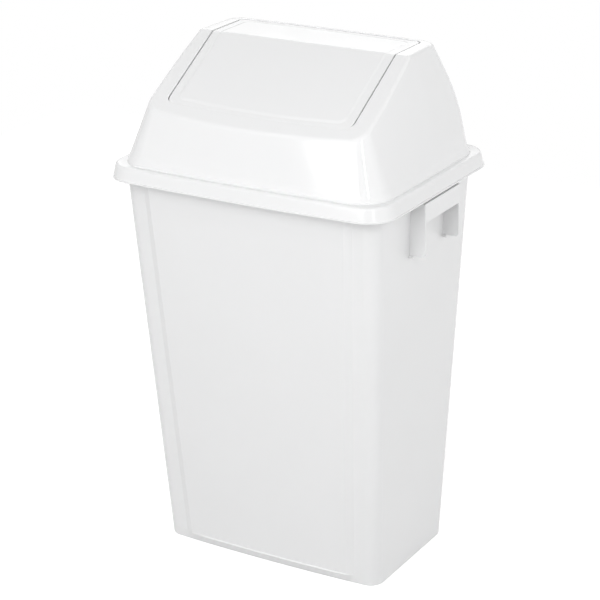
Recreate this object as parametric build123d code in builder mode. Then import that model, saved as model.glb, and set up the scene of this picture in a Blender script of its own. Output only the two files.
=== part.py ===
from build123d import *
import math
import os

# A free-standing swing-top bin of about 60 litres, in white moulded plastic. Millimetres.
# +X runs along the long side, the sloping flap faces -Y, +Z is up, and the origin is the
# middle of the base, on the floor.

# Tub: half sizes of its corners at the floor and at the mouth, and how far the long sides bulge
tub_height = 553.0
base_half_x = 167.0
base_half_y = 96.0
base_corner = 18.0
base_bulge = 4.6
mouth_half_x = 191.2
mouth_half_y = 134.2
mouth_corner = 20.0
mouth_bulge = 5.9
tub_wall = 2.6
tub_floor = 3.0
foot_height = 3.0
foot_width = 9.0

# Raised panel on each long side: its face, its slanted edge and the height where the edge ends
panel_border = 34.0
panel_bevel = 12.0
panel_raise = 3.5
panel_foot = 11.0

# Rim: a flat land round the mouth with a flared skirt that ends in a small bead
rim_land = 14.0
rim_flare = 4.0
rim_drop = 19.5
rim_wall = 2.5
rim_round = 3.5
rim_bead = 1.0
rim_bead_height = 2.2

# Grips under the rim, one at each end: two legs and a crossbar, hooked into slots in the wall
grip_length = 95.0
grip_shift = 5.0
grip_gap_below_rim = 2.5
bar_height = 25.0
bar_thickness = 3.0
leg_height = 72.0
leg_thickness = 3.0
leg_round = 7.0
hook_height = 8.0
hook_inset = 10.0
hook_drop = 2.5
hook_tip = 2.0
hook_clearance = 0.2
rest_radius = 4.0
rest_reach = 6.0

# Hood: lip, walls and the roof above them
lip_overlap = 4.8
lip_corner = 36.5
lip_height = 2.5
kick_height = 8.0
kick_out = 3.5
hood_wall = 2.5
fold_rise = 78.0
fold_front = 115.0
fold_front_bulge = 9.0
fold_rear = 119.0
fold_rear_bulge = 5.0
fold_half_front = 162.0
fold_half_rear = 177.0
fold_corner = 25.0
roof_rise = 150.0
roof_half_x = 155.5
roof_front = 80.0
roof_rear = 92.0
roof_bulge = 3.5
roof_corner = 14.0
slope_angle = 30.6
ridge_y = 13.1
skirt_depth = 12.0
skirt_wall = 2.0
skirt_clearance = 0.8
hood_round = 3.0
crest_round = 3.0

# Flap: its outline from above, its raised field, its turned-down edge and its pins
flap_half_x = 137.0
flap_front = 100.6
flap_front_bulge = 5.1
flap_rear = 84.6
flap_rear_bulge = 3.5
flap_corner = 8.0
flap_wall = 2.3
flap_gap = 1.5
flange_depth = 9.0
flange_wall = 2.2
field_inset = 14.5
field_inset_front = 8.5
field_inset_rear = 10.5
field_corner = 6.0
field_raise = 0.8
stop_length = 160.0
stop_width = 5.0
stop_wall = 2.0
stop_gap = 0.3
pivot_y = -25.0
pivot_depth = 7.0
pin_radius = 3.0
pin_running_clearance = 0.05
pin_head_radius = 5.5
pin_head_height = 2.0
pin_tip = 1.5
ear_wall = 2.5
ear_round = 3.5
boss_wall = 4.0


def between(low, high, share):
    """The value a share of the way from low to high."""
    return low + (high - low) * share


def bulged(half_x, half_y, bulge, x):
    """How far a bulged long side stands out at x."""
    return half_y + bulge * (1 - (x / half_x) ** 2)


def bulged_rectangle(half_x, half_y, bulge, corner):
    """A rectangle with rounded corners and bulged long sides."""
    with BuildSketch(Plane.XY) as outline:
        with BuildLine():
            Line((half_x, -half_y), (half_x, half_y))
            ThreePointArc((half_x, half_y), (0, half_y + bulge), (-half_x, half_y))
            Line((-half_x, half_y), (-half_x, -half_y))
            ThreePointArc((-half_x, -half_y), (0, -half_y - bulge), (half_x, -half_y))
        make_face()
        fillet(vertices(), corner)
    return outline.sketch


def tub_section(height, inset):
    """The tub's section at a height, with its raised panels, inset by a wall."""
    share = height / tub_height
    half_x = between(base_half_x, mouth_half_x, share) - inset
    half_y = between(base_half_y, mouth_half_y, share) - inset
    bulge = between(base_bulge, mouth_bulge, share)
    corner = between(base_corner, mouth_corner, share) - inset
    edge = half_x + inset - panel_border
    face = edge - panel_bevel
    out = panel_raise * min(height / panel_foot, 1)
    with BuildSketch(Plane.XY) as outline:
        with BuildLine():
            for way in (1, -1):
                ends = [(x, way * bulged(half_x, half_y, bulge, x)) for x in (half_x, edge, -edge, -half_x)]
                middle = (half_x + edge) / 2
                side = way * bulged(half_x, half_y, bulge, middle)
                panel_end = way * (bulged(half_x, half_y, bulge, face) + out)
                ThreePointArc(ends[0], (middle, side), ends[1])
                Line(ends[1], (face, panel_end))
                ThreePointArc((face, panel_end), (0, way * (half_y + bulge + out)), (-face, panel_end))
                Line((-face, panel_end), ends[2])
                ThreePointArc(ends[2], (-middle, side), ends[3])
                Line((way * half_x, -half_y), (way * half_x, half_y))
        make_face()
        fillet(vertices().filter_by(lambda v: abs(v.X) > half_x - 0.1), corner)
    return outline.sketch


def rim_section(out):
    """The outline of the mouth, moved outward."""
    return bulged_rectangle(mouth_half_x + out, mouth_half_y + out, mouth_bulge, mouth_corner + out)


# Tub: the shell, its foot ring, the rim, and the slots and rests that take the grips
floor_top = foot_height + tub_floor
skirt_bottom = tub_height - rim_drop
wall_lean = (mouth_half_x - base_half_x) / tub_height
grip_top = skirt_bottom - grip_gap_below_rim
leg_bottom = grip_top - leg_height
grip_face = mouth_half_x + rim_land + rim_flare + rim_bead
leg_offset = (grip_length - leg_thickness) / 2
leg_places = [grip_shift - leg_offset, grip_shift + leg_offset]
hook_places = [leg_bottom + hook_inset, grip_top - hook_inset - hook_height]
slot_width = leg_thickness + 2 * hook_clearance
slot_height = hook_height + hook_drop + 2 * hook_clearance


def wall_x(height):
    """Where the outer face of an end wall stands at a height."""
    return base_half_x + wall_lean * height


with BuildPart() as tub:
    for height in (0, panel_foot, tub_height):
        with BuildSketch(Plane.XY.offset(height)):
            add(tub_section(height, 0))
    loft(ruled=True)
    # the flat land and the flared skirt that hangs from its edge
    with BuildSketch(Plane.XY.offset(tub_height)):
        add(rim_section(rim_land))
    with BuildSketch(Plane.XY.offset(skirt_bottom)):
        add(rim_section(rim_land + rim_flare))
    loft(ruled=True)
    fillet(faces().sort_by(Axis.Z)[-1].outer_wire().edges(), rim_round)
    with BuildSketch(Plane.XY.offset(skirt_bottom)):
        add(rim_section(rim_land + rim_flare + rim_bead))
    extrude(amount=rim_bead_height)
    # the hollow between the skirt and the wall
    with BuildSketch(Plane.XY.offset(tub_height - rim_wall)):
        add(rim_section(rim_land - rim_wall))
    with BuildSketch(Plane.XY.offset(skirt_bottom)):
        add(rim_section(rim_land + rim_flare - rim_wall))
    loft(ruled=True, mode=Mode.SUBTRACT)
    for height in (panel_foot, tub_height):
        with BuildSketch(Plane.XY.offset(height)):
            add(tub_section(height, 0))
    loft(ruled=True)
    # the half-round rest under each leg of a grip
    for side in (1, -1):
        for place in leg_places:
            with BuildSketch(Plane.YZ.offset(side * (wall_x(leg_bottom) - tub_wall / 2))):
                with Locations((place, leg_bottom)):
                    Circle(rest_radius)
                    Rectangle(2 * rest_radius, rest_radius, align=(Align.CENTER, Align.MIN), mode=Mode.SUBTRACT)
            extrude(amount=side * (rest_reach + tub_wall / 2))
    # the inside, and the pocket under the floor
    for height in (floor_top, panel_foot, tub_height):
        with BuildSketch(Plane.XY.offset(height)):
            add(tub_section(height, tub_wall))
    loft(ruled=True, mode=Mode.SUBTRACT)
    with BuildSketch(Plane.XY):
        add(tub_section(0, foot_width))
    extrude(amount=foot_height, mode=Mode.SUBTRACT)
    for side in (1, -1):
        for place in leg_places:
            for height in hook_places:
                with Locations((side * wall_x(height), place, height - hook_clearance)):
                    Box(4 * tub_wall, slot_width, slot_height,
                        align=(Align.CENTER, Align.CENTER, Align.MIN), mode=Mode.SUBTRACT)
tub.part.label = "tub"

# Grips: each leg stands on its rest and hooks behind the wall, and the crossbar joins the legs
inner_gap = tub_wall + hook_clearance

with BuildPart() as side_handle_right:
    for place in leg_places:
        with BuildSketch(Plane.XZ.offset(-place)):
            with BuildLine():
                Polyline((wall_x(leg_bottom), leg_bottom), (grip_face, leg_bottom), (grip_face, grip_top),
                         (wall_x(grip_top), grip_top), (wall_x(leg_bottom), leg_bottom))
            make_face()
            fillet(vertices().sort_by(Axis.Z)[:2].sort_by(Axis.X)[-1], leg_round)
            for foot in hook_places:
                head = foot + hook_height
                with BuildLine():
                    Polyline((wall_x(foot) + leg_thickness, foot), (wall_x(foot) - inner_gap, foot),
                             (wall_x(foot) - inner_gap, foot - hook_drop),
                             (wall_x(foot) - inner_gap - hook_tip, foot - hook_drop),
                             (wall_x(foot) - inner_gap - hook_tip, head), (wall_x(head) + leg_thickness, head),
                             (wall_x(foot) + leg_thickness, foot))
                make_face()
        extrude(amount=leg_thickness / 2, both=True)
    with Locations((grip_face, grip_shift, grip_top)):
        Box(bar_thickness, grip_length, bar_height, align=(Align.MAX, Align.CENTER, Align.MAX))
side_handle_right.part.label = "side_handle_right"

with BuildPart() as side_handle_left:
    add(mirror(side_handle_right.part, about=Plane.YZ, mode=Mode.PRIVATE))
side_handle_left.part.label = "side_handle_left"

# Hood: the lip and skirt at the mouth, and the walls that lean in to the slope and the roof
slope = math.radians(slope_angle)
kick_top = tub_height + kick_height
fold_height = tub_height + fold_rise
roof_height = tub_height + roof_rise
wall_half_x = mouth_half_x + lip_overlap - kick_out
wall_half_y = mouth_half_y + lip_overlap - kick_out
reach = 2 * mouth_half_x


def hood_section(half_front, half_rear, front, rear, front_bulge, rear_bulge, corner):
    """A section of the hood, narrower at the front, with bulged long sides and rounded corners."""
    with BuildSketch(Plane.XY) as outline:
        with BuildLine():
            Line((half_front, -front), (half_rear, rear))
            ThreePointArc((half_rear, rear), (0, rear + rear_bulge), (-half_rear, rear))
            Line((-half_rear, rear), (-half_front, -front))
            ThreePointArc((-half_front, -front), (0, -front - front_bulge), (half_front, -front))
        make_face()
        fillet(vertices(), corner)
    return outline.sketch


def slope_z(y, depth):
    """The height of the sloping front at y, at a depth below its surface."""
    return roof_height + (y - ridge_y) * math.tan(slope) - depth / math.cos(slope)


def hood_form(inset):
    """The hood as a solid block, inset by a wall on every side."""
    crest_y = ridge_y + inset * (1 / math.cos(slope) - 1) / math.tan(slope)
    mouth = hood_section(wall_half_x - inset, wall_half_x - inset, wall_half_y - inset, wall_half_y - inset,
                         mouth_bulge, mouth_bulge, lip_corner - inset)
    fold = hood_section(fold_half_front - inset, fold_half_rear - inset, fold_front - inset, fold_rear - inset,
                        fold_front_bulge, fold_rear_bulge, fold_corner - inset)
    roof = hood_section(roof_half_x - inset, roof_half_x - inset, roof_front - inset, roof_rear - inset,
                        roof_bulge, roof_bulge, roof_corner - inset)
    with BuildPart() as form:
        for height, section in ((kick_top, mouth), (fold_height, fold), (roof_height, roof)):
            with BuildSketch(Plane.XY.offset(height)):
                add(section)
        loft()
        with BuildSketch(Plane.XY.offset(tub_height)):
            add(mouth)
        extrude(amount=kick_height)
        with BuildSketch(Plane.YZ):
            with BuildLine():
                Polyline((-reach, 0), (-reach, slope_z(-reach, inset)), (crest_y, roof_height - inset),
                         (reach, roof_height - inset), (reach, 0), (-reach, 0))
            make_face()
            if inset < crest_round:
                fillet(vertices().sort_by_distance((crest_y, roof_height - inset))[0], crest_round - inset)
        extrude(amount=reach, both=True, mode=Mode.INTERSECT)
        if inset == 0:
            above = edges().filter_by(lambda e: e.center().Z > fold_height - kick_height * 2)
            fillet(above.filter_by(lambda e: abs(e.center().X) > 1 or abs(e.center().Y) > roof_rear / 2), hood_round)
    return form.part


def flap_outline(grow):
    """The flap's outline from above, grown by an amount."""
    return hood_section(flap_half_x + grow, flap_half_x + grow, flap_front + grow, flap_rear + grow,
                        flap_front_bulge, flap_rear_bulge, flap_corner + grow)


hood_block = hood_form(0)


def hood_band(depth, outline, hole, block=hood_block):
    """What lies under an outline from the surface of the hood's form down to a depth, less a hole."""
    with BuildPart() as band:
        with BuildSketch(Plane.XY.offset(kick_top)):
            add(outline)
            if hole:
                add(hole, mode=Mode.SUBTRACT)
        extrude(amount=roof_height)
        add(block, mode=Mode.INTERSECT)
        add(hood_form(depth), mode=Mode.SUBTRACT)
    return band.part


pivot_z = slope_z(pivot_y, pivot_depth)
ear_radius = pin_radius + ear_round
ear_x = flap_half_x + flap_gap
edge_depth = flange_depth + stop_gap + stop_wall


def ears(start, thickness):
    """A pair of ears round the pivot, from start outward, trimmed to the hood's form."""
    with BuildPart() as pair:
        for side in (1, -1):
            with BuildSketch(Plane.YZ.offset(side * start)):
                with Locations((pivot_y, pivot_z)):
                    Circle(ear_radius)
                    Rectangle(2 * ear_radius, 4 * pivot_depth, align=(Align.CENTER, Align.MIN))
            extrude(amount=side * thickness)
        add(hood_block, mode=Mode.INTERSECT)
    return pair.part


skirt_share = (tub_height - skirt_depth) / tub_height
skirt_half_x = between(base_half_x, mouth_half_x, skirt_share) - tub_wall - skirt_clearance
skirt_half_y = between(base_half_y, mouth_half_y, skirt_share) - tub_wall - skirt_clearance
skirt_corner = mouth_corner - tub_wall
skirt_outer = bulged_rectangle(skirt_half_x, skirt_half_y, base_bulge, skirt_corner)
skirt_inner = bulged_rectangle(skirt_half_x - skirt_wall, skirt_half_y - skirt_wall, base_bulge,
                               skirt_corner - skirt_wall)
lip_outline = bulged_rectangle(mouth_half_x + lip_overlap, mouth_half_y + lip_overlap, mouth_bulge,
                               lip_corner + kick_out)
wall_outline = bulged_rectangle(wall_half_x, wall_half_y, mouth_bulge, lip_corner)
opening_edge = hood_band(edge_depth, flap_outline(flap_gap + flange_wall), flap_outline(flap_gap))
hood_ears = ears(ear_x, ear_wall)

with BuildPart() as hood:
    add(hood_block)
    with BuildSketch(Plane.XY.offset(tub_height)):
        add(lip_outline)
    extrude(amount=lip_height)
    for height, outline in ((tub_height + lip_height, lip_outline), (kick_top, wall_outline)):
        with BuildSketch(Plane.XY.offset(height)):
            add(outline)
    loft(ruled=True)
    add(hood_form(hood_wall), mode=Mode.SUBTRACT)
    # the skirt that drops into the mouth, and the shelf that carries it
    with BuildSketch(Plane.XY.offset(tub_height)):
        add(lip_outline)
        add(skirt_inner, mode=Mode.SUBTRACT)
    extrude(amount=lip_height)
    with BuildSketch(Plane.XY.offset(tub_height - skirt_depth)):
        add(skirt_outer)
        add(skirt_inner, mode=Mode.SUBTRACT)
    extrude(amount=skirt_depth)
    # the opening, its turned-down edge, the bearing ears and the stop under the flap's rear edge
    with BuildSketch(Plane.XY.offset(kick_top)):
        add(flap_outline(flap_gap))
    extrude(amount=roof_height - tub_height, mode=Mode.SUBTRACT)
    add(opening_edge)
    add(hood_ears)
    with BuildSketch(Plane.XY.offset(roof_height - edge_depth)):
        add(flap_outline(flap_gap + flange_wall / 2))
        add(flap_outline(-stop_width), mode=Mode.SUBTRACT)
        with Locations((0, flap_rear)):
            Rectangle(stop_length, 2 * flap_corner, mode=Mode.INTERSECT)
    extrude(amount=stop_wall)
    with BuildSketch(Plane.YZ):
        with Locations((pivot_y, pivot_z)):
            Circle(pin_radius + pin_running_clearance)
    extrude(amount=ear_x + 2 * ear_wall, both=True, mode=Mode.SUBTRACT)
hood.part.label = "hood"

# Flap: one skin over the slope and the roof strip, with a turned-down edge and a boss at each pin
flap_skin = hood_band(flap_wall, flap_outline(0), None)
flap_edge = hood_band(flange_depth, flap_outline(0), flap_outline(-flange_wall))
field_outline = hood_section(flap_half_x - field_inset, flap_half_x - field_inset, flap_front - field_inset_front,
                             flap_rear - field_inset_rear, flap_front_bulge, flap_rear_bulge, field_corner)
flap_field = hood_band(flap_wall / 2, field_outline, None, hood_form(-field_raise))
flap_bosses = ears(flap_half_x - boss_wall, boss_wall)

with BuildPart() as swing_flap:
    add(flap_skin)
    add(flap_edge)
    add(flap_field)
    add(flap_bosses)
    with BuildSketch(Plane.YZ):
        with Locations((pivot_y, pivot_z)):
            Circle(pin_radius)
    extrude(amount=flap_half_x + flap_gap, both=True, mode=Mode.SUBTRACT)
swing_flap.part.label = "swing_flap"

# Pins: pushed from inside through the flap's bosses, they turn in the hood's ears
head_x = flap_half_x - boss_wall - pin_head_height

with BuildPart() as pivot_pin_right:
    for start, radius, end in ((head_x, pin_head_radius, head_x + pin_head_height),
                               (head_x, pin_radius, ear_x + ear_wall + pin_tip)):
        with BuildSketch(Plane.YZ.offset(start)):
            with Locations((pivot_y, pivot_z)):
                Circle(radius)
        extrude(amount=end - start)
    chamfer(edges().sort_by(Axis.X)[-1], pin_tip / 2)
pivot_pin_right.part.label = "pivot_pin_right"

with BuildPart() as pivot_pin_left:
    add(mirror(pivot_pin_right.part, about=Plane.YZ, mode=Mode.PRIVATE))
pivot_pin_left.part.label = "pivot_pin_left"

os.makedirs("parts", exist_ok=True)
for piece in (tub, side_handle_right, side_handle_left, hood, swing_flap, pivot_pin_right, pivot_pin_left):
    export_step(piece.part, "parts/" + piece.part.label + ".step")
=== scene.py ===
import math
import bpy
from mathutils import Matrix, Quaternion, Vector


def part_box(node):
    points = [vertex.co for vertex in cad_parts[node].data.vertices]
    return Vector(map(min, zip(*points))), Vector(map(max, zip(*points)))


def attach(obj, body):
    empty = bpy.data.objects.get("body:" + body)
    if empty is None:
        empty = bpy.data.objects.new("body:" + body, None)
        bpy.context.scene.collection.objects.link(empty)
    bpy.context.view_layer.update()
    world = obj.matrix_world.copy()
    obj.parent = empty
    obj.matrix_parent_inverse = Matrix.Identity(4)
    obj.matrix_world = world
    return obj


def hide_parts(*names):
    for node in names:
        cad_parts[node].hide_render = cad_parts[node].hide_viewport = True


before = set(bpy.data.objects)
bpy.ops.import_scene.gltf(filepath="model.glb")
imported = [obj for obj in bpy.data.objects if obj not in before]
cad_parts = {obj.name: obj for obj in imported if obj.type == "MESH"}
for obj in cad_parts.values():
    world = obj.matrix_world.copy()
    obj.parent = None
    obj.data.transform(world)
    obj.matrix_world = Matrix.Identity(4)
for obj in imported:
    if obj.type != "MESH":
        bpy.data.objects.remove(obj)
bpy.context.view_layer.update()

# Camera: a long lens from the front right and a little above, which sees the slope of the hood,
# the long side and the right-hand end.
camera_turn = math.radians(31.38)
camera_rise = math.radians(21.33)
camera_tilt = math.radians(-1.12)
camera_distance = 2.840
camera_target = Vector((-0.0026, 0.0, 0.3486))
away = Vector((math.sin(camera_turn) * math.cos(camera_rise), -math.cos(camera_turn) * math.cos(camera_rise),
               math.sin(camera_rise)))
bpy.ops.object.camera_add(location=camera_target + camera_distance * away)
camera = bpy.context.object
camera.data.lens = 126.25
camera.data.sensor_width = 36.0
camera.data.clip_end = 50.0
camera.rotation_mode = "QUATERNION"
camera.rotation_quaternion = (-away).to_track_quat("-Z", "Y") @ Quaternion((0, 0, 1), camera_tilt)
bpy.context.scene.camera = camera

# Tub: the deep body of the bin, one injection moulding in white polypropylene, open at the top.
# Its walls lean out to a flat land with a flared skirt round the mouth. Each long side has a raised
# panel, and a foot ring stands under the floor.
tub_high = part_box("tub")[1]
tub_height = tub_high.z
rim_land = 0.014
rim_flare = 0.004
rim_bead = 0.001
rim_bead_height = 0.0022
rim_drop = 0.0195
rim_wall = 0.0025
rim_round = 0.0035
mouth_bulge = 0.0059
mouth_corner = 0.020
mouth_half_x = tub_high.x - rim_land - rim_flare - rim_bead
mouth_half_y = tub_high.y - rim_land - rim_flare - rim_bead - mouth_bulge
base_half_x = 0.167
base_half_y = 0.096
base_bulge = 0.0046
base_corner = 0.018
tub_wall = 0.0026
floor_top = 0.006
foot_height = 0.003
foot_width = 0.009
panel_border = 0.034
panel_bevel = 0.010
panel_raise = 0.0042
panel_foot = 0.0126
panel_lip = 0.0018
panel_lip_top = 0.0140
panel_columns = [share / 4 for share in range(-4, 5)]
panel_round = 0.0008
mouth_round = 0.0008
bead_round = 0.0006
foot_round = 0.0010
corner_steps = 7
sharp_angle = 50
flat_weight = 60
on_line = 0.0004
tiny = 0.00001


def edit(piece, kind="VERT"):
    """Enters edit mode on one piece with nothing selected."""
    if bpy.context.mode != "OBJECT":
        bpy.ops.object.mode_set(mode="OBJECT")
    bpy.ops.object.select_all(action="DESELECT")
    piece.select_set(True)
    bpy.context.view_layer.objects.active = piece
    bpy.ops.object.mode_set(mode="EDIT")
    bpy.ops.mesh.select_mode(type=kind)
    bpy.ops.mesh.select_all(action="DESELECT")


def pick(piece, kind, wanted):
    """Selects the points, edges or faces of a piece whose middle passes a test."""
    edit(piece, kind)
    bpy.ops.object.mode_set(mode="OBJECT")
    mesh = piece.data
    if kind == "VERT":
        found = [(point, point.co) for point in mesh.vertices]
    elif kind == "EDGE":
        found = [(edge, (mesh.vertices[edge.vertices[0]].co + mesh.vertices[edge.vertices[1]].co) / 2)
                 for edge in mesh.edges]
    else:
        found = [(face, face.center) for face in mesh.polygons]
    for element, middle in found:
        element.select = wanted(middle)
    bpy.ops.object.mode_set(mode="EDIT")


def pick_rings(piece, *names):
    """Selects the named rings of a piece."""
    edit(piece)
    for name in names:
        piece.vertex_groups.active_index = piece.vertex_groups[name].index
        bpy.ops.object.vertex_group_select()


def ring(name, halves, reaches, bulges, corner, height, columns, rows):
    """A closed outline seen from above, its front and rear half widths, reaches and bulges given in
    pairs, cut at the columns and rows so that every ring of a piece has the same points."""
    if bpy.context.mode != "OBJECT":
        bpy.ops.object.mode_set(mode="OBJECT")
    bpy.ops.object.select_all(action="DESELECT")
    bpy.ops.mesh.primitive_plane_add(size=2, location=(0, 0, height))
    outline = bpy.context.object
    outline.name = name
    bpy.ops.object.transform_apply(location=True, rotation=False, scale=False)
    for side, half, reach in zip((-1, 1), halves, reaches):
        pick(outline, "VERT", lambda p: p.y * side > 0)
        bpy.ops.transform.resize(value=(half, 1, 1), center_override=(0, 0, height))
        bpy.ops.transform.translate(value=(0, side * (reach - 1), 0))
    edit(outline)
    bpy.ops.mesh.select_all(action="SELECT")
    bpy.ops.mesh.bevel(affect="VERTICES", offset=corner, segments=corner_steps)
    bpy.ops.mesh.select_all(action="SELECT")
    bpy.ops.mesh.delete(type="ONLY_FACE")
    cuts = [((x, 0, 0), (1, 0, 0)) for x in columns] + [((0, y, 0), (0, 1, 0)) for y in rows]
    for place, normal in cuts:
        bpy.ops.mesh.select_all(action="SELECT")
        bpy.ops.mesh.bisect(plane_co=place, plane_no=normal)
    for side, half, bulge in zip((-1, 1), halves, bulges):
        pick(outline, "VERT", lambda p: abs(p.x) < tiny and p.y * side > 0)
        bpy.ops.transform.translate(value=(0, side * bulge, 0), use_proportional_edit=True,
                                    proportional_edit_falloff="INVERSE_SQUARE", proportional_size=half)
    bpy.ops.object.mode_set(mode="OBJECT")
    outline.vertex_groups.new(name=name).add(range(len(outline.data.vertices)), 1, "REPLACE")
    return outline


def bridge(piece, first, second):
    """Joins two rings of a piece by a band of faces. The second is lifted meanwhile, because rings in
    one plane would be joined with a twist."""
    for lift in (1, -1):
        pick_rings(piece, second)
        bpy.ops.transform.translate(value=(0, 0, lift))
        if lift > 0:
            pick_rings(piece, first, second)
            bpy.ops.mesh.bridge_edge_loops()


def rowed_bridge(piece, first, second, rows):
    """Joins two rings by a band with several rows of points between them, which join no ring."""
    pick_rings(piece, first, second)
    bpy.ops.mesh.bridge_edge_loops(number_cuts=rows, interpolation="LINEAR")
    bpy.ops.object.mode_set(mode="OBJECT")
    bpy.ops.object.vertex_group_clean(group_select_mode="ALL", limit=0.95)


def join(piece, *others):
    """Makes other meshes part of a piece."""
    bpy.ops.object.mode_set(mode="OBJECT")
    bpy.ops.object.select_all(action="DESELECT")
    for other in (*others, piece):
        other.select_set(True)
    bpy.context.view_layer.objects.active = piece
    bpy.ops.object.join()


def loft(name, rings):
    """One skin over a chain of rings, in their order."""
    piece = rings[0]
    order = [outline.name for outline in rings]
    for outline, before, after in zip(rings[1:], order, order[1:]):
        join(piece, outline)
        bridge(piece, before, after)
    bpy.ops.object.mode_set(mode="OBJECT")
    piece.name = name
    piece.data.name = name
    return piece


def cap(piece, name, wanted=lambda p: True):
    """Closes a ring of a piece with a face over those of its points that pass a test."""
    pick_rings(piece, name)
    bpy.ops.object.mode_set(mode="OBJECT")
    for point in piece.data.vertices:
        point.select = point.select and wanted(point.co)
    for edge in piece.data.edges:
        edge.select = all(piece.data.vertices[end].select for end in edge.vertices)
    bpy.ops.object.mode_set(mode="EDIT")
    bpy.ops.mesh.edge_face_add()


def apply_modifier(piece, kind, **settings):
    """Adds a modifier to a piece and applies it."""
    bpy.ops.object.mode_set(mode="OBJECT")
    bpy.context.view_layer.objects.active = piece
    bpy.ops.object.modifier_add(type=kind)
    modifier = piece.modifiers[-1]
    for setting, value in settings.items():
        setattr(modifier, setting, value)
    bpy.ops.object.modifier_apply(modifier=modifier.name)


def soften(piece, rings, edges, segments=4):
    """Rounds the edges of named rings and those whose middle passes a test, each with its own width."""
    widest = max([*rings.values()] + [width for wanted, width in edges])
    for name, width in rings.items():
        pick_rings(piece, name)
        bpy.ops.transform.edge_bevelweight(value=width / widest)
    for wanted, width in edges:
        pick(piece, "EDGE", wanted)
        bpy.ops.transform.edge_bevelweight(value=width / widest)
    apply_modifier(piece, "BEVEL", limit_method="WEIGHT", width=widest, segments=segments,
                   use_clamp_overlap=False)


def finish_skin(piece):
    """Merges doubled points, turns all faces outwards, shades them smoothly with the large faces kept
    flat, and clears the rings' names."""
    edit(piece)
    bpy.ops.mesh.select_all(action="SELECT")
    bpy.ops.mesh.remove_doubles(threshold=tiny)
    bpy.ops.mesh.dissolve_degenerate(threshold=tiny)
    bpy.ops.mesh.normals_make_consistent(inside=False)
    bpy.ops.object.mode_set(mode="OBJECT")
    bpy.ops.object.shade_smooth_by_angle(angle=math.radians(sharp_angle))
    apply_modifier(piece, "WEIGHTED_NORMAL", keep_sharp=True, weight=flat_weight)
    piece.vertex_groups.clear()


def wall_x(height):
    """Where the outer face of an end wall stands at a height."""
    return base_half_x + (mouth_half_x - base_half_x) * height / tub_height


def panel_cuts(half_x):
    """The half width of a panel's face and the columns of points across it, where the end walls stand
    at half_x."""
    edge = half_x - panel_border
    face = edge - panel_bevel
    return face, [-edge] + [column * face for column in panel_columns] + [edge]


def tub_ring(name, height, inset, level, raised):
    """A ring of the tub's wall at a height, inset by the wall, drawn at a level, with the panels raised."""
    share = height / tub_height
    half_x = wall_x(height)
    half_y = base_half_y + (mouth_half_y - base_half_y) * share
    bulge = base_bulge + (mouth_bulge - base_bulge) * share
    corner = base_corner + (mouth_corner - base_corner) * share
    face, columns = panel_cuts(half_x)
    outline = ring(name, (half_x - inset,) * 2, (half_y - inset,) * 2, (bulge,) * 2, corner - inset, level,
                   columns, [0])
    for side in (-1, 1):
        pick(outline, "VERT", lambda p: abs(p.x) < face + tiny and p.y * side > 0)
        bpy.ops.transform.translate(value=(0, side * raised, 0))
    bpy.ops.object.mode_set(mode="OBJECT")
    return outline


def rim_ring(name, out, level):
    """A ring of the rim, which follows the mouth at a distance."""
    return ring(name, (mouth_half_x + out,) * 2, (mouth_half_y + out,) * 2, (mouth_bulge,) * 2,
                mouth_corner + out, level, panel_cuts(mouth_half_x)[1], [0])


skirt_bottom = tub_height - rim_drop
bead_top = skirt_bottom + rim_bead_height
skirt_reach = rim_land + rim_flare
tub_skin = loft("tub_skin", [
    tub_ring("pocket", 0, foot_width, foot_height, 0),
    tub_ring("foot_inside", 0, foot_width, 0, 0),
    tub_ring("foot_outside", 0, 0, 0, 0),
    tub_ring("panel_foot", panel_foot, 0, panel_foot, panel_raise + panel_lip),
    tub_ring("panel_lip", panel_lip_top, 0, panel_lip_top, panel_raise),
    tub_ring("under_land", tub_height, 0, tub_height - rim_wall, panel_raise),
    rim_ring("skirt_inside", rim_land - rim_wall, tub_height - rim_wall),
    rim_ring("skirt_inside_foot", skirt_reach - rim_wall, skirt_bottom),
    rim_ring("bead_foot", skirt_reach + rim_bead, skirt_bottom),
    rim_ring("bead_top", skirt_reach + rim_bead, bead_top),
    rim_ring("skirt_foot", skirt_reach - rim_flare * rim_bead_height / rim_drop, bead_top),
    rim_ring("land_edge", rim_land, tub_height),
    tub_ring("mouth", tub_height, tub_wall, tub_height, panel_raise),
    tub_ring("inside_panel_foot", panel_foot, tub_wall, panel_foot, panel_raise),
    tub_ring("inside_floor", floor_top, tub_wall, floor_top, panel_raise * floor_top / panel_foot),
])
cap(tub_skin, "pocket")
cap(tub_skin, "inside_floor")


def on_panel_side(p):
    """Whether a point lies where the side of a panel slants down to the wall."""
    edge = wall_x(p.z) - panel_border
    along = min(abs(abs(p.x) - edge), abs(abs(p.x) - edge + panel_bevel)) < on_line
    return along and abs(p.y) > base_half_y / 2 and panel_lip_top < p.z < tub_height - rim_wall - tiny


soften(tub_skin, {"land_edge": rim_round, "mouth": mouth_round, "bead_foot": bead_round,
                  "foot_outside": foot_round}, [(on_panel_side, panel_round)])


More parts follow.
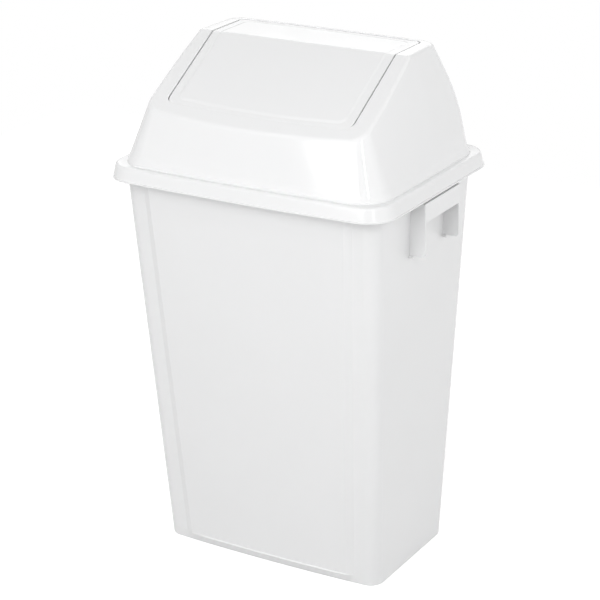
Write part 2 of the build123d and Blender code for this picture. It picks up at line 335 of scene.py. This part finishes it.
def moulded_surface():
    """What every moulding of this bin shares: the faint waves of a cooled wall, the fine grain of the
    polished tool, a slight mottling of the white and a roughness that varies with handling."""
    group = bpy.data.node_groups.new("moulded_surface", "ShaderNodeTree")
    for name, kind, start in (("White", "NodeSocketColor", (0.85, 0.85, 0.85, 1)),
                              ("Mottled", "NodeSocketColor", (0.83, 0.83, 0.83, 1)),
                              ("Gloss", "NodeSocketFloat", 0.16), ("Worn", "NodeSocketFloat", 0.26),
                              ("Waves", "NodeSocketFloat", 0.3), ("Grain", "NodeSocketFloat", 0.3)):
        group.interface.new_socket(name=name, in_out="INPUT", socket_type=kind).default_value = start
    for name, kind in (("Color", "NodeSocketColor"), ("Roughness", "NodeSocketFloat"),
                       ("Normal", "NodeSocketVector")):
        group.interface.new_socket(name=name, in_out="OUTPUT", socket_type=kind)
    nodes, links = group.nodes, group.links
    given = nodes.new("NodeGroupInput")
    result = nodes.new("NodeGroupOutput")
    place = nodes.new("ShaderNodeTexCoord")

    def noise(scale, detail, stretch=(1, 1, 1)):
        """A noise on the piece's own coordinates, in metres."""
        turn = nodes.new("ShaderNodeMapping")
        turn.inputs["Scale"].default_value = stretch
        links.new(place.outputs["Object"], turn.inputs["Vector"])
        cloud = nodes.new("ShaderNodeTexNoise")
        cloud.inputs["Scale"].default_value = scale
        cloud.inputs["Detail"].default_value = detail
        links.new(turn.outputs["Vector"], cloud.inputs["Vector"])
        return cloud.outputs["Fac"]

    def between(low, high, fac, kind):
        """Mixes two sockets of the group by a noise."""
        mix = nodes.new("ShaderNodeMix")
        mix.data_type = kind
        sockets = {"RGBA": (6, 7, 2), "FLOAT": (2, 3, 0)}[kind]
        links.new(given.outputs[low], mix.inputs[sockets[0]])
        links.new(given.outputs[high], mix.inputs[sockets[1]])
        links.new(fac, mix.inputs["Factor"])
        return mix.outputs[sockets[2]]

    links.new(between("White", "Mottled", noise(scale=7, detail=3), "RGBA"), result.inputs["Color"])
    smear = nodes.new("ShaderNodeMapRange")
    smear.inputs["From Min"].default_value = 0.42
    smear.inputs["From Max"].default_value = 0.72
    links.new(noise(scale=16, detail=5, stretch=(1, 1, 0.35)), smear.inputs["Value"])
    links.new(between("Gloss", "Worn", smear.outputs["Result"], "FLOAT"), result.inputs["Roughness"])
    waves = nodes.new("ShaderNodeBump")
    waves.inputs["Distance"].default_value = 0.0016
    links.new(given.outputs["Waves"], waves.inputs["Strength"])
    links.new(noise(scale=6, detail=1, stretch=(1, 1, 0.6)), waves.inputs["Height"])
    grain = nodes.new("ShaderNodeBump")
    grain.inputs["Distance"].default_value = 0.00004
    links.new(given.outputs["Grain"], grain.inputs["Strength"])
    links.new(noise(scale=700, detail=2), grain.inputs["Height"])
    links.new(waves.outputs["Normal"], grain.inputs["Normal"])
    links.new(grain.outputs["Normal"], result.inputs["Normal"])
    return group


moulded = moulded_surface()


def moulding(name, values):
    """A material of moulded plastic with its own values of the shared surface."""
    material = bpy.data.materials.new(name)
    material.use_nodes = True
    nodes, links = material.node_tree.nodes, material.node_tree.links
    surface = nodes.new("ShaderNodeGroup")
    surface.node_tree = moulded
    for socket, value in values.items():
        surface.inputs[socket].default_value = value
    shader = nodes["Principled BSDF"]
    shader.inputs["IOR"].default_value = 1.49
    links.new(surface.outputs["Color"], shader.inputs["Base Color"])
    links.new(surface.outputs["Roughness"], shader.inputs["Roughness"])
    links.new(surface.outputs["Normal"], shader.inputs["Normal"])
    return material


def dress(piece, material):
    """Gives a piece one material."""
    piece.data.materials.clear()
    piece.data.materials.append(material)


tub_white = moulding("tub_white", {"White": (0.84, 0.842, 0.845, 1), "Mottled": (0.815, 0.817, 0.82, 1),
                                   "Gloss": 0.13, "Worn": 0.22, "Waves": 0.5, "Grain": 0.25})

# Grips: a bracket at each end of the tub, moulded in the same white plastic. Two legs carry a crossbar
# under the rim, and two hooks on each leg clip behind the wall.
grip_low, grip_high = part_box("side_handle_right")
leg_thickness = 0.003
leg_round = 0.007
bar_thickness = 0.003
bar_height = 0.025
hook_height = 0.008
hook_inset = 0.010
hook_drop = 0.0025
hook_tip = 0.002
hook_clearance = 0.0002
grip_round = 0.0006


def mirrored(piece, name):
    """A copy of a piece with its own mesh, mirrored to the other end of the bin."""
    bpy.ops.object.mode_set(mode="OBJECT")
    bpy.ops.object.select_all(action="DESELECT")
    piece.select_set(True)
    bpy.ops.object.duplicate()
    twin = bpy.context.object
    twin.name = name
    edit(twin)
    bpy.ops.mesh.select_all(action="SELECT")
    bpy.ops.transform.resize(value=(-1, 1, 1), center_override=(0, 0, 0))
    bpy.ops.mesh.normals_make_consistent(inside=False)
    bpy.ops.object.mode_set(mode="OBJECT")
    return twin


def block(low, high, lean=0.0):
    """A block between two corners, whose top inner edge leans outward."""
    bpy.ops.object.mode_set(mode="OBJECT")
    bpy.ops.object.select_all(action="DESELECT")
    low, high = Vector(low), Vector(high)
    bpy.ops.mesh.primitive_cube_add(size=1, location=(low + high) / 2, scale=high - low)
    piece = bpy.context.object
    bpy.ops.object.transform_apply(location=True, rotation=False, scale=True)
    pick(piece, "VERT", lambda p: p.x < (low.x + high.x) / 2 and p.z > (low.z + high.z) / 2)
    bpy.ops.transform.translate(value=(lean, 0, 0))
    bpy.ops.object.mode_set(mode="OBJECT")
    return piece


def combine(piece, other, operation="UNION"):
    """Joins another solid to a piece, or cuts it out."""
    apply_modifier(piece, "BOOLEAN", object=other, operation=operation, solver="EXACT")
    bpy.data.objects.remove(other)


leg_places = [grip_low.y + leg_thickness / 2, grip_high.y - leg_thickness / 2]
hook_places = [grip_low.z + hook_inset, grip_high.z - hook_inset - hook_height]
grip_right = block((grip_high.x - bar_thickness, grip_low.y, grip_high.z - bar_height), grip_high)
for place in leg_places:
    near, far = place - leg_thickness / 2, place + leg_thickness / 2
    leg = block((wall_x(grip_low.z), near, grip_low.z), (grip_high.x, far, grip_high.z),
                wall_x(grip_high.z) - wall_x(grip_low.z))
    pick(leg, "EDGE", lambda p: p.x > grip_high.x - tiny and p.z < grip_low.z + tiny)
    bpy.ops.mesh.bevel(affect="EDGES", offset=leg_round, segments=6)
    combine(grip_right, leg)
    for foot in hook_places:
        behind = wall_x(foot) - tub_wall - hook_clearance
        for low, high in (((behind, near, foot), (wall_x(foot) + leg_thickness, far, foot + hook_height)),
                          ((behind - hook_tip, near, foot - hook_drop), (behind, far, foot + hook_height))):
            combine(grip_right, block(low, high))
apply_modifier(grip_right, "BEVEL", limit_method="ANGLE", angle_limit=math.radians(sharp_angle),
               width=grip_round, segments=3, use_clamp_overlap=True)
grip_right.name = "grip_right"
grip_left = mirrored(grip_right, "grip_left")
grip_white = moulding("grip_white", {"White": (0.84, 0.842, 0.845, 1), "Mottled": (0.82, 0.822, 0.825, 1),
                                     "Gloss": 0.18, "Worn": 0.26, "Waves": 0.2, "Grain": 0.3})
for grip, side in ((grip_right, "right"), (grip_left, "left")):
    finish_skin(grip)
    dress(grip, grip_white)
    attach(grip, "tub")
    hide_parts("side_handle_" + side)

# Rests and slots: what the tub has for the grips, moulded with it. A half-round rest stands under each
# leg, and each hook has its own slot in the wall. The tub's skin is finished once they are in.
rest_radius = 0.004
rest_reach = 0.006


def rod(radius, start, end, y, z, name="rod"):
    """A solid rod along x."""
    bpy.ops.object.mode_set(mode="OBJECT")
    bpy.ops.object.select_all(action="DESELECT")
    bpy.ops.mesh.primitive_cylinder_add(vertices=32, radius=radius, depth=abs(end - start),
                                        location=((start + end) / 2, y, z), rotation=(0, math.pi / 2, 0))
    piece = bpy.context.object
    piece.name = name
    bpy.ops.object.transform_apply(location=True, rotation=True, scale=False)
    return piece


for place in leg_places:
    rest = rod(rest_radius, wall_x(grip_low.z) - tub_wall / 2, wall_x(grip_low.z) + rest_reach, place,
               grip_low.z)
    edit(rest)
    bpy.ops.mesh.select_all(action="SELECT")
    bpy.ops.mesh.bisect(plane_co=(0, 0, grip_low.z), plane_no=(0, 0, 1), use_fill=True, clear_outer=True)
    combine(tub_skin, mirrored(rest, "rest_left"))
    combine(tub_skin, rest)
    for foot in hook_places:
        reach = Vector((2 * tub_wall, leg_thickness / 2 + hook_clearance, 0))
        low = Vector((wall_x(foot), place, foot - hook_drop - hook_clearance))
        slot = block(low - reach, low + reach + Vector((0, 0, hook_height + hook_drop + 2 * hook_clearance)))
        combine(tub_skin, mirrored(slot, "slot_left"), "DIFFERENCE")
        combine(tub_skin, slot, "DIFFERENCE")
finish_skin(tub_skin)
dress(tub_skin, tub_white)
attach(tub_skin, "tub")
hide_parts("tub")

# Hood: the domed top, moulded in one piece. Its lip rests on the tub's rim with a skirt inside the
# mouth, the front slopes up to a flat roof, and the opening for the flap has a turned-down edge.
hood_low, hood_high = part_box("hood")
roof_height = hood_high.z
slope = math.radians(30.6)
ridge_y = 0.0131
lip_overlap = hood_high.x - mouth_half_x
lip_corner = 0.0365
lip_height = 0.0025
kick_height = 0.008
kick_out = 0.0035
hood_wall = 0.0025
skirt_half_x = 0.1873
skirt_half_y = 0.1300
skirt_corner = 0.024
skirt_wall = 0.002
verge_front = 0.1160
verge_front_bulge = 0.0106
verge_front_half = 0.1625
verge_rear = 0.092
verge_rear_bulge = 0.0035
verge_rear_half = 0.1555
verge_corner = 0.018
verge_bow = 0.0022
verge_bow_size = 0.066
fold_round = 0.0043
crest_round = 0.0012
opening_round = 0.0007
kick_round = 0.0022
lip_round = 0.0007
round_steps = 5
wall_rows = 5
wall_bow_rear = 0.0085
wall_bow_side = 0.0035
wall_bow_height = 0.634
wall_bow_row = 0.007
wall_bow_start = 0.030
wall_bow_out = 0.08
wall_bow_size = 0.066
flap_low, flap_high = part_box("swing_flap")
flap_half_x = flap_high.x
flap_front_bulge = 0.0051
flap_rear_bulge = 0.0035
flap_front = -flap_low.y - flap_front_bulge
flap_rear = flap_high.y - flap_rear_bulge
flap_corner = 0.008
flap_gap = 0.0015
flap_gap_front = 0.0006
flange_wall = 0.0022
edge_depth = 0.0113
column_step = 0.028
hood_columns = [step * column_step for step in range(-4, 5)]
hood_rows = [-0.075, -0.050, -0.025]
roof_rows = [0.035, 0.057]


def crest_line(depth):
    """Where the crest lies, at a depth below the surface."""
    return ridge_y + depth * (1 / math.cos(slope) - 1) / math.tan(slope)


def cross_rows(depth):
    """The rows of points across a ring of the hood or the flap, one of them on the crest."""
    return hood_rows + [crest_line(depth)] + roof_rows


def drape(outline, depth):
    """Lays the part of a ring in front of the crest on the slope, at a depth below the surface."""
    crest = (0, crest_line(depth), roof_height - depth)
    pick(outline, "VERT", lambda p: p.y < crest[1] - tiny)
    bpy.ops.transform.resize(value=(1, 1 / math.cos(slope), 1), center_override=crest)
    bpy.ops.transform.rotate(value=-slope, orient_axis="X", center_override=crest)
    bpy.ops.object.mode_set(mode="OBJECT")
    return outline


def level_ring(name, out, corner, bulge, half_x, half_y, level):
    """A level ring of the hood round the mouth."""
    return ring(name, (half_x + out,) * 2, (half_y + out,) * 2, (bulge,) * 2, corner, level, hood_columns,
                cross_rows(0))


def verge_ring(name, inset, depth):
    """The outer edge of the slope and the roof, whose sides bow out a little along the slope."""
    outline = ring(name, (verge_front_half - inset, verge_rear_half - inset),
                   (verge_front - inset, verge_rear - inset), (verge_front_bulge, verge_rear_bulge),
                   verge_corner - inset, roof_height - depth, hood_columns, cross_rows(depth))
    for side in (-1, 1):
        pick(outline, "VERT", lambda p: p.x * side > hood_columns[-1] + tiny
             and abs(p.y - hood_rows[1]) < tiny)
        bpy.ops.transform.translate(value=(side * verge_bow, 0, 0), use_proportional_edit=True,
                                    proportional_edit_falloff="INVERSE_SQUARE",
                                    proportional_size=verge_bow_size)
    return drape(outline, depth)


def flap_ring(name, grow, grow_front, depth):
    """A ring that follows the flap's outline, grown at the sides and the rear, and at the front."""
    outline = ring(name, (flap_half_x + grow,) * 2, (flap_front + grow_front, flap_rear + grow),
                   (flap_front_bulge, flap_rear_bulge), flap_corner + grow, roof_height - depth, hood_columns,
                   cross_rows(depth))
    return drape(outline, depth)


pivot_y = -0.025
pivot_z = 0.672335
pin_radius = 0.003
ear_radius = 0.0065
ear_wall = 0.0025
pin_hole_end = flap_half_x + flap_gap + 2 * ear_wall
stop_length = 0.160
stop_width = 0.005
stop_wall = 0.002
wall_half_x = mouth_half_x + lip_overlap - kick_out
wall_half_y = mouth_half_y + lip_overlap - kick_out
kick_top = tub_height + kick_height
shelf_top = tub_height + lip_height
flange_in = flap_gap + flange_wall
flange_in_front = flap_gap_front + flange_wall


def slope_z(y, depth):
    """The height of the slope at y, at a depth below its surface."""
    return roof_height + (y - ridge_y) * math.tan(slope) - depth / math.cos(slope)


def ear(start, end, depth, name):
    """A bearing ear round the pins' line, whose top stays below the slope's surface."""
    piece = rod(ear_radius, start, end, pivot_y, pivot_z, name)
    rise = slope_z(pivot_y, depth) - pivot_z
    lid = block((start, pivot_y - ear_radius, pivot_z), (end, pivot_y + ear_radius, pivot_z + rise))
    pick(lid, "VERT", lambda p: p.z > pivot_z + tiny)
    for side in (-1, 1):
        pick(lid, "VERT", lambda p: p.z > pivot_z + tiny and (p.y - pivot_y) * side > 0)
        bpy.ops.transform.translate(value=(0, 0, side * ear_radius * math.tan(slope)))
    combine(piece, lid)
    return piece


hood_skin = loft("hood_skin", [
    level_ring("wall_foot", -hood_wall, lip_corner - hood_wall, mouth_bulge, wall_half_x, wall_half_y,
               shelf_top),
    level_ring("skirt_inside_top", -skirt_wall, skirt_corner - skirt_wall, base_bulge, skirt_half_x,
               skirt_half_y, shelf_top),
    level_ring("skirt_inside_foot", -skirt_wall, skirt_corner - skirt_wall, base_bulge, skirt_half_x,
               skirt_half_y, hood_low.z),
    level_ring("skirt_foot", 0, skirt_corner, base_bulge, skirt_half_x, skirt_half_y, hood_low.z),
    level_ring("skirt_top", 0, skirt_corner, base_bulge, skirt_half_x, skirt_half_y, tub_height),
    level_ring("lip_foot", kick_out, lip_corner + kick_out, mouth_bulge, wall_half_x, wall_half_y,
               tub_height),
    level_ring("lip_top", kick_out, lip_corner + kick_out, mouth_bulge, wall_half_x, wall_half_y, shelf_top),
    level_ring("kick", 0, lip_corner, mouth_bulge, wall_half_x, wall_half_y, kick_top),
])
join(hood_skin, loft("hood_top", [
    verge_ring("verge", 0, 0),
    flap_ring("opening", flap_gap, flap_gap_front, 0),
    flap_ring("flange_foot", flap_gap, flap_gap_front, edge_depth),
    flap_ring("flange_foot_inside", flange_in, flange_in_front, edge_depth),
    flap_ring("ceiling", flange_in, flange_in_front, hood_wall),
    verge_ring("ceiling_edge", hood_wall, hood_wall),
]))
rowed_bridge(hood_skin, "kick", "verge", wall_rows)
rowed_bridge(hood_skin, "ceiling_edge", "wall_foot", wall_rows)
for sideways, bow in (((0, 1, 0), wall_bow_rear), ((1, 0, 0), wall_bow_side), ((-1, 0, 0), wall_bow_side)):
    pick(hood_skin, "VERT", lambda p: abs(p.z - wall_bow_height) < wall_bow_row and p.y > wall_bow_start
         and p.dot(Vector(sideways)) > wall_bow_out)
    bpy.ops.transform.translate(value=Vector(sideways) * bow, use_proportional_edit=True,
                                use_proportional_connected=True, proportional_size=wall_bow_size,
                                proportional_edit_falloff="INVERSE_SQUARE")
soften(hood_skin, {"opening": opening_round, "verge": fold_round, "kick": kick_round,
                   "lip_top": lip_round},
       [(lambda p: abs(p.y - ridge_y) < tiny and p.z > roof_height - tiny, crest_round)], round_steps)
ear_right = ear(flap_half_x + flap_gap + tiny, flap_half_x + flap_gap + ear_wall, hood_wall / 2, "ear_right")
for bearing in (mirrored(ear_right, "ear_left"), ear_right):
    combine(hood_skin, bearing)
combine(hood_skin, block((-stop_length / 2, flap_rear + flap_rear_bulge - stop_width, roof_height - edge_depth),
                         (stop_length / 2, flap_rear + flap_rear_bulge + flap_gap + flange_wall / 2,
                          roof_height - edge_depth + stop_wall)))
combine(hood_skin, rod(pin_radius, -pin_hole_end, pin_hole_end, pivot_y, pivot_z), "DIFFERENCE")
finish_skin(hood_skin)
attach(hood_skin, "hood")
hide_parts("hood")
dress(hood_skin, moulding("hood_white", {"White": (0.845, 0.847, 0.85, 1), "Mottled": (0.82, 0.822, 0.825, 1),
                                         "Gloss": 0.09, "Worn": 0.15, "Waves": 0.4, "Grain": 0.15}))

# Flap: the swinging lid in the slope and the roof, one thin moulding with a turned-down edge and a
# slightly raised field. A boss inside each end takes its pin.
flange_depth = 0.009
flap_wall = 0.0023
boss_wall = 0.004
field_inset = 0.0145
field_inset_front = 0.0085
field_inset_rear = 0.0105
field_corner = 0.008
field_raise = 0.0008
field_slant = 0.003
edge_round = 0.0009
field_round = 0.0010
field_foot_round = 0.0008
flap_play = 0.0006


def field_ring(name, grow, depth):
    """A ring of the raised field."""
    outline = ring(name, (flap_half_x - field_inset + grow,) * 2,
                   (flap_front - field_inset_front + grow, flap_rear - field_inset_rear + grow),
                   (flap_front_bulge, flap_rear_bulge), field_corner + grow, roof_height - depth,
                   hood_columns, cross_rows(depth))
    return drape(outline, depth)


flap_skin = loft("flap_skin", [
    flap_ring("underside", -flange_wall, -flange_wall, flap_wall),
    flap_ring("edge_inside", -flange_wall, -flange_wall, flange_depth),
    flap_ring("edge_foot", 0, 0, flange_depth),
    flap_ring("edge", 0, 0, field_raise),
    field_ring("field_foot", field_slant, field_raise),
    field_ring("field", 0, 0),
])
for name, depth in (("underside", flap_wall), ("field", 0)):
    cap(flap_skin, name, lambda p: p.y < crest_line(depth) + tiny)
    cap(flap_skin, name, lambda p: p.y > crest_line(depth) - tiny)
soften(flap_skin, {"edge": edge_round, "field": field_round, "field_foot": field_foot_round},
       [(lambda p: abs(p.y - ridge_y) < on_line and p.z > roof_height - field_raise - tiny, crest_round)])
pick(flap_skin, "VERT", lambda p: p.x > flap_half_x - 1.5 * flange_wall)
bpy.ops.transform.translate(value=(-flap_play, 0, 0))
boss_right = ear(flap_half_x - boss_wall, flap_half_x - flange_wall / 4, flap_wall / 2, "boss_right")
for boss in (mirrored(boss_right, "boss_left"), boss_right):
    combine(flap_skin, boss)
combine(flap_skin, rod(pin_radius, -pin_hole_end, pin_hole_end, pivot_y, pivot_z), "DIFFERENCE")
finish_skin(flap_skin)
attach(flap_skin, "flap")
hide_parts("swing_flap")
dress(flap_skin, moulding("flap_white", {"White": (0.84, 0.842, 0.845, 1), "Mottled": (0.82, 0.822, 0.825, 1),
                                         "Gloss": 0.16, "Worn": 0.24, "Waves": 0.4, "Grain": 0.3}))

# Pins: two plain round pins pushed through the flap's bosses into the hood's ears, on which the flap
# swings. They are the CAD's own pieces, in an unpolished grey plastic.
pin_grey = moulding("pin_grey", {"White": (0.62, 0.62, 0.62, 1), "Mottled": (0.55, 0.55, 0.55, 1),
                                 "Gloss": 0.4, "Worn": 0.55, "Waves": 0.0, "Grain": 0.6})
for side in ("left", "right"):
    dress(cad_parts["pivot_pin_" + side], pin_grey)

# Floor: a sheet of matt white paper, wide enough to fill the view. It looks white to the camera and in
# reflections, and it still takes the bin's shadow.
floor_size = 3.2
paper_shade = 0.6
paper_roughness = 0.9
paper_lift = 0.6
bpy.ops.object.select_all(action="DESELECT")
bpy.ops.mesh.primitive_plane_add(size=floor_size, location=(0, 0, 0))
floor = bpy.context.object
floor.name = "floor"
paper = bpy.data.materials.new("paper")
paper.use_nodes = True
paper_nodes, paper_links = paper.node_tree.nodes, paper.node_tree.links
paper_shader = paper_nodes["Principled BSDF"]
paper_shader.inputs["Base Color"].default_value = (paper_shade, paper_shade, paper_shade, 1)
paper_shader.inputs["Roughness"].default_value = paper_roughness
paper_shader.inputs["Emission Color"].default_value = (1, 1, 1, 1)


def seen_directly(nodes, links):
    """1 for camera, glossy and transmitted rays, and 0 for the light that falls on the bin."""
    path = nodes.new("ShaderNodeLightPath")
    total = path.outputs["Is Camera Ray"]
    for name in ("Is Glossy Ray", "Is Transmission Ray"):
        larger = nodes.new("ShaderNodeMath")
        larger.operation = "MAXIMUM"
        links.new(total, larger.inputs[0])
        links.new(path.outputs[name], larger.inputs[1])
        total = larger.outputs[0]
    return total


lift = paper_nodes.new("ShaderNodeMath")
lift.operation = "MULTIPLY"
lift.inputs[1].default_value = paper_lift
paper_links.new(seen_directly(paper_nodes, paper_links), lift.inputs[0])
paper_links.new(lift.outputs[0], paper_shader.inputs["Emission Strength"])
dress(floor, paper)

# Studio: a white surround that is dim as a lamp, and softboxes in front, above and behind. A narrow
# strip draws the bright line on the hood's corner, and a large panel lights the end wall without
# showing in it.
surround_strength = 0.31
lamp_aim = Vector((0, 0, 0.4))
world = bpy.data.worlds.new("studio")
bpy.context.scene.world = world
world.use_nodes = True
world_nodes, world_links = world.node_tree.nodes, world.node_tree.links
background = world_nodes["Background"]
background.inputs["Color"].default_value = (1, 1, 1, 1)
world_level = world_nodes.new("ShaderNodeMapRange")
world_level.inputs["To Min"].default_value = surround_strength
world_level.inputs["To Max"].default_value = 1.0
world_links.new(seen_directly(world_nodes, world_links), world_level.inputs["Value"])
world_links.new(world_level.outputs["Result"], background.inputs["Strength"])


def softbox(name, turn, rise, distance, width, height, power):
    """A rectangular lamp at a bearing and a height, aimed at the middle of the bin."""
    turn, rise = math.radians(turn), math.radians(rise)
    way = Vector((math.sin(turn) * math.cos(rise), -math.cos(turn) * math.cos(rise), math.sin(rise)))
    bpy.ops.object.light_add(type="AREA", location=lamp_aim + distance * way)
    lamp = bpy.context.object
    lamp.name = name
    lamp.data.shape = "RECTANGLE"
    lamp.data.size = width
    lamp.data.size_y = height
    lamp.data.energy = power
    lamp.rotation_mode = "QUATERNION"
    lamp.rotation_quaternion = (-way).to_track_quat("-Z", "Y")
    return lamp


softbox("front_softbox", turn=-3, rise=25, distance=2.5, width=1.65, height=1.6, power=30)
softbox("high_softbox", turn=350, rise=60, distance=2.6, width=2.4, height=1.8, power=12)
softbox("right_strip", turn=48, rise=25, distance=2.4, width=0.08, height=1.6, power=9)
softbox("rear_softbox", turn=208, rise=36, distance=2.6, width=2.2, height=1.6, power=14)
end_panel = softbox("end_panel", turn=112, rise=4, distance=3.4, width=4.4, height=4.4, power=84)
end_panel.visible_glossy = False
bpy.context.scene.view_settings.view_transform = "Standard"
